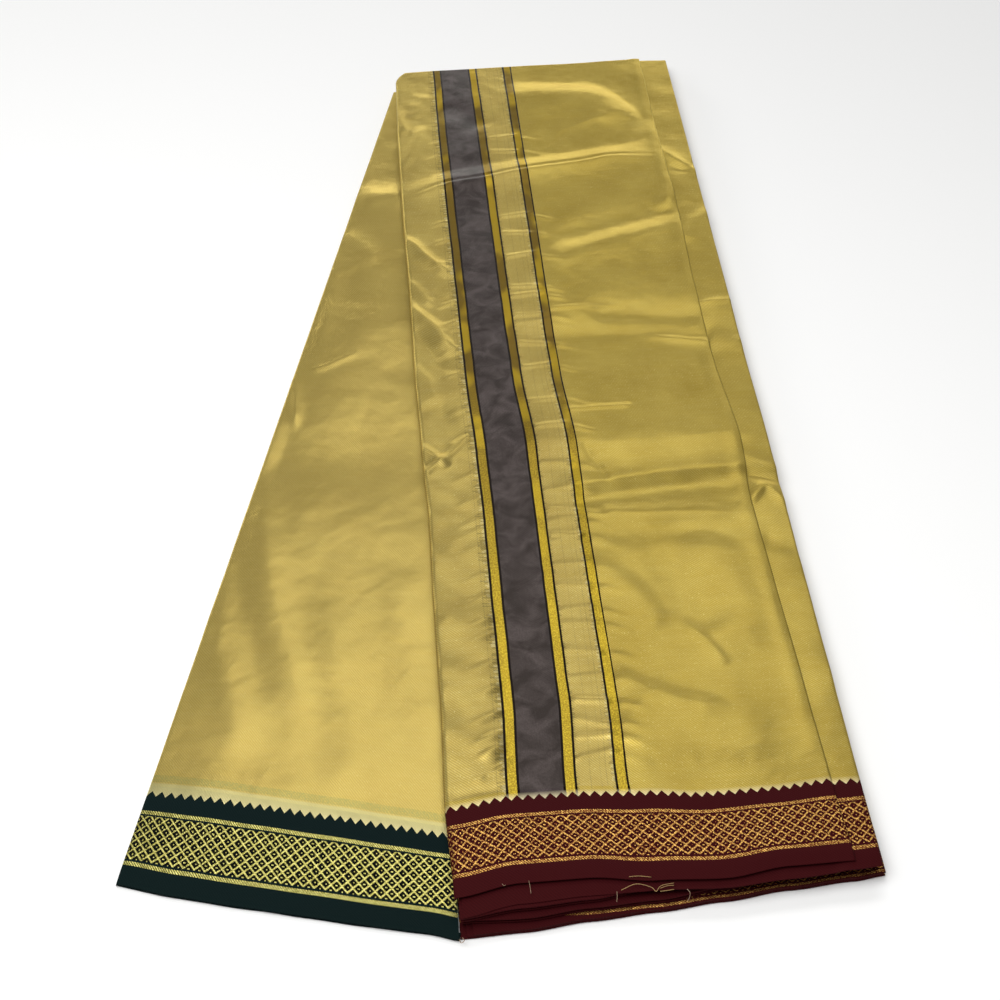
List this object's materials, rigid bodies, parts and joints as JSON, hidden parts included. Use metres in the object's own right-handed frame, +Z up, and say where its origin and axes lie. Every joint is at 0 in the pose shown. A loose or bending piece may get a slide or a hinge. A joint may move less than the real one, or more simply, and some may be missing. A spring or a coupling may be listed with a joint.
{
  "type": "folded dhoti",
  "caption": "Folded South Indian dhoti lying flat: a striped end panel with a maroon temple border, and an under half fanned out with a green one.",
  "frame": {"origin": "on the table, under the middle of the bounding box", "axes": "+Z up from the table, +Y away from the hems along the panels towards their folded tops, +X from the fanned under half towards the stack"},
  "size_m": [0.3174, 0.6695, 0.0148],
  "materials": {
    "gold_silk": "satin art silk, pale antique gold",
    "maroon_silk": "plain woven art silk, deep maroon",
    "green_silk": "plain woven art silk, bottle green",
    "end_band_silk": "warm grey art silk between stripes of gold zari and dark warp lines"
  },
  "bodies": {
    "root": {"front_field": "gold_silk", "front_end_strip": "gold_silk", "end_band": "end_band_silk", "front_border": "maroon_silk", "second_field": "gold_silk", "second_border": "maroon_silk", "third_hem": "maroon_silk", "fourth_hem": "maroon_silk", "lowest_border": "maroon_silk", "wing_field": "gold_silk", "wing_border": "green_silk", "wing_under": "green_silk", "folded_core": "gold_silk"}
  },
  "joints": []
}
